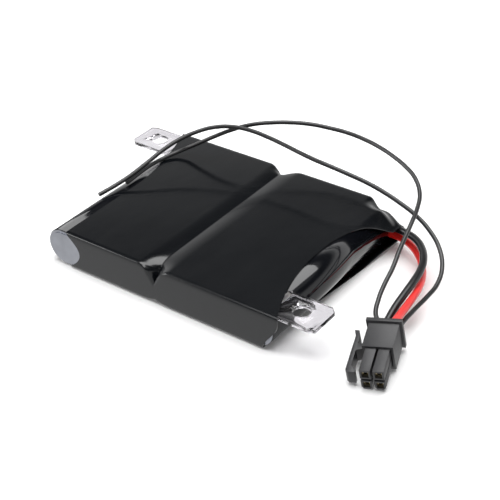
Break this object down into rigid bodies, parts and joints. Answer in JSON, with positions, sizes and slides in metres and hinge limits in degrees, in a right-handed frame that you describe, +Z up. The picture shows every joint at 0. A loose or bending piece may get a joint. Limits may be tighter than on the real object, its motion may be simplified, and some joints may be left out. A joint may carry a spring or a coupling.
{
  "type": "battery module",
  "caption": "Flat rechargeable battery module with prismatic cells in black shrink film, clear screw tabs at opposite corners, power and sense leads and a keyed square connector.",
  "frame": {"origin": "centre of the footprint of the pack and its tabs, on the surface it lies on", "axes": "+X along the two cells side by side, towards the side where the leads leave; +Y towards the connection bay behind the cells; +Z up out of the flat top"},
  "size_m": [0.1085, 0.0654, 0.0215],
  "materials": {
    "film": "black PVC shrink film, high gloss",
    "can": "nickel-plated steel can under its jacket",
    "jacket": "thin black cell jacket, glossy",
    "foam": "double-sided foam",
    "paper": "insulating fibre paper",
    "nickel": "nickel strip",
    "board": "glass-fibre board with solder mask",
    "chip": "moulded epoxy",
    "fuse": "polymer fuse body",
    "solder": "solder",
    "frame": "black moulded plastic",
    "tab": "clear polycarbonate",
    "tape": "double-sided adhesive strip",
    "red_wire": "red PVC insulation",
    "black_wire": "black PVC insulation",
    "plug": "black nylon",
    "contact": "tin-plated brass"
  },
  "bodies": {
    "root": {"shrink_film": "film", "left_cell": "can", "right_cell": "can", "left_jacket": "jacket", "right_jacket": "jacket", "foam_strip": "foam", "left_washer": "paper", "right_washer": "paper", "positive_link": "nickel", "negative_link": "nickel", "insulating_sheet": "paper", "protection_board": "board", "control_chip": "chip", "power_switch": "chip", "fuse_chip": "fuse", "positive_post": "solder", "negative_post": "solder", "left_end_frame": "frame", "right_end_frame": "frame", "left_tab": "tab", "right_tab": "tab", "left_tab_tape": "tape", "right_tab_tape": "tape", "red_lead": "red_wire", "black_lead": "black_wire", "sense_lead_a": "black_wire", "sense_lead_b": "black_wire", "connector_housing": "plug", "positive_contact": "contact", "negative_contact": "contact", "sense_contact_a": "contact", "sense_contact_b": "contact"}
  },
  "joints": []
}
